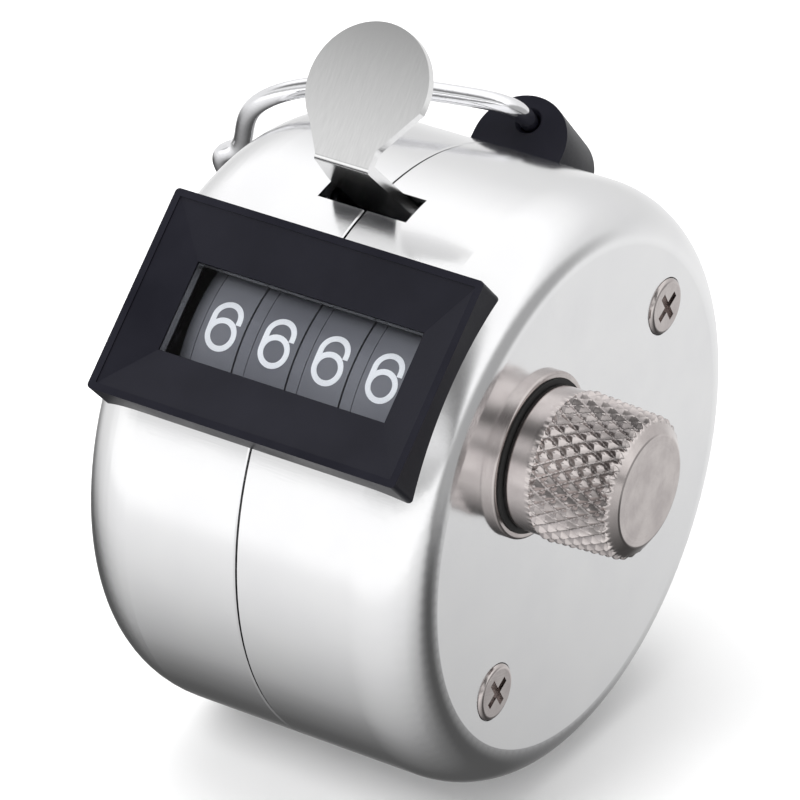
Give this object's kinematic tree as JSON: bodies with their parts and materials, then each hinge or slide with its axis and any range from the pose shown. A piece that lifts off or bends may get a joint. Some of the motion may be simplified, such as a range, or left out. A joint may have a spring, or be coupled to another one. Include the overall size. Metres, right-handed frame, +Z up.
{
  "type": "hand tally counter",
  "caption": "Round chromed hand counter with a windowed number display, thumb lever, knurled reset knob and folding finger ring.",
  "frame": {"origin": "middle of the barrel, on its axis, at the seam between the two half shells, where the hand holds it", "axes": "+X along the barrel's axis toward the reset knob, +Z up, -Y toward the front where the number window faces"},
  "size_m": [0.0466, 0.0469, 0.0568],
  "materials": {
    "chrome_case": "polished chrome plate over steel",
    "black_plastic": "satin moulded black",
    "clear_lens": "clear acrylic window",
    "bright_nickel": "polished nickel, slightly warm",
    "satin_steel": "satin stainless sheet",
    "wire_chrome": "bright chromed wire",
    "wheel_grey": "dark grey moulded wheel, white numerals",
    "zinc_steel": "zinc plated mechanism steel",
    "brass": "machined brass",
    "white_acetal": "natural acetal",
    "spring_steel": "blued spring steel",
    "seal_rubber": "black rubber"
  },
  "bodies": {
    "case": {"left_shell": "chrome_case", "right_shell": "chrome_case", "case_screws": "bright_nickel", "window_bezel": "black_plastic", "window_lens": "clear_lens", "gear_shield": "wheel_grey", "frame_plate_left": "zinc_steel", "frame_plate_right": "zinc_steel", "frame_spacer_rods": "zinc_steel", "pinion_shaft": "zinc_steel", "pinion_spacers": "brass", "wheel_spacers": "brass", "holding_pawl": "spring_steel", "detent_comb": "spring_steel", "knob_collar": "bright_nickel", "collar_nut": "brass", "knob_seal": "seal_rubber", "lever_shaft": "zinc_steel", "lever_spring": "spring_steel", "ring_lug": "black_plastic"},
    "reset": {"reset_shaft": "zinc_steel", "reset_knob": "bright_nickel", "knob_grub_screw": "spring_steel", "shaft_clip": "spring_steel"},
    "units": {"units_wheel": "wheel_grey", "units_reset_click": "spring_steel", "ratchet_wheel": "brass"},
    "tens": {"tens_wheel": "wheel_grey", "tens_reset_click": "spring_steel"},
    "hundreds": {"hundreds_wheel": "wheel_grey", "hundreds_reset_click": "spring_steel"},
    "thousands": {"thousands_wheel": "wheel_grey", "thousands_reset_click": "spring_steel"},
    "pinion_tens": {"transfer_pinion_tens": "white_acetal"},
    "pinion_hundreds": {"transfer_pinion_hundreds": "white_acetal"},
    "pinion_thousands": {"transfer_pinion_thousands": "white_acetal"},
    "lever": {"thumb_lever": "satin_steel", "pawl_pin": "zinc_steel", "pawl_spring": "spring_steel"},
    "pawl": {"drive_pawl": "zinc_steel"},
    "ring": {"finger_ring": "wire_chrome"}
  },
  "joints": [
    {"name": "lever_press", "type": "hinge", "parent": "case", "child": "lever", "pos_m": [0, 0.001, 0.0173], "axis": [1, 0, 0], "range_deg": [0, 9.5], "stiffness_Nm_per_rad": 0.06, "springref_deg": -20.05, "deforming": ["lever_spring"]},
    {"name": "pawl_swing", "type": "hinge", "parent": "lever", "child": "pawl", "pos_m": [0, -0.00058, -0.00167], "axis": [1, 0, 0], "range_deg": [-12, 3], "deforming": ["pawl_spring"]},
    {"name": "units_spin", "type": "hinge", "parent": "case", "child": "units", "pos_m": [0, -0.00645, 0.00684], "axis": [1, 0, 0], "continuous": true},
    {"name": "tens_spin", "type": "hinge", "parent": "case", "child": "tens", "pos_m": [0, -0.00645, 0.00684], "axis": [1, 0, 0], "continuous": true},
    {"name": "pinion_tens_spin", "type": "hinge", "parent": "case", "child": "pinion_tens", "pos_m": [0, 0.00572, 0.00358], "axis": [1, 0, 0], "continuous": true},
    {"name": "hundreds_spin", "type": "hinge", "parent": "case", "child": "hundreds", "pos_m": [0, -0.00645, 0.00684], "axis": [1, 0, 0], "continuous": true},
    {"name": "pinion_hundreds_spin", "type": "hinge", "parent": "case", "child": "pinion_hundreds", "pos_m": [0, 0.00572, 0.00358], "axis": [1, 0, 0], "continuous": true},
    {"name": "thousands_spin", "type": "hinge", "parent": "case", "child": "thousands", "pos_m": [0, -0.00645, 0.00684], "axis": [1, 0, 0], "continuous": true},
    {"name": "pinion_thousands_spin", "type": "hinge", "parent": "case", "child": "pinion_thousands", "pos_m": [0, 0.00572, 0.00358], "axis": [1, 0, 0], "continuous": true},
    {"name": "reset_turn", "type": "hinge", "parent": "case", "child": "reset", "pos_m": [0, -0.00645, 0.00684], "axis": [1, 0, 0], "continuous": true},
    {"name": "ring_swing", "type": "hinge", "parent": "case", "child": "ring", "pos_m": [0, 0.01861, 0.01618], "axis": [0, 0.6561, -0.7547], "range_deg": [0, 205]}
  ],
  "couplings": [
    {"joint": "pawl_swing", "follows": "lever_press", "ratio": -1},
    {"joint": "units_spin", "follows": "lever_press", "ratio": 3.7895},
    {"joint": "pinion_thousands_spin", "follows": "thousands_spin", "ratio": -2.5},
    {"joint": "pinion_hundreds_spin", "follows": "hundreds_spin", "ratio": -2.5},
    {"joint": "pinion_tens_spin", "follows": "tens_spin", "ratio": -2.5}
  ]
}
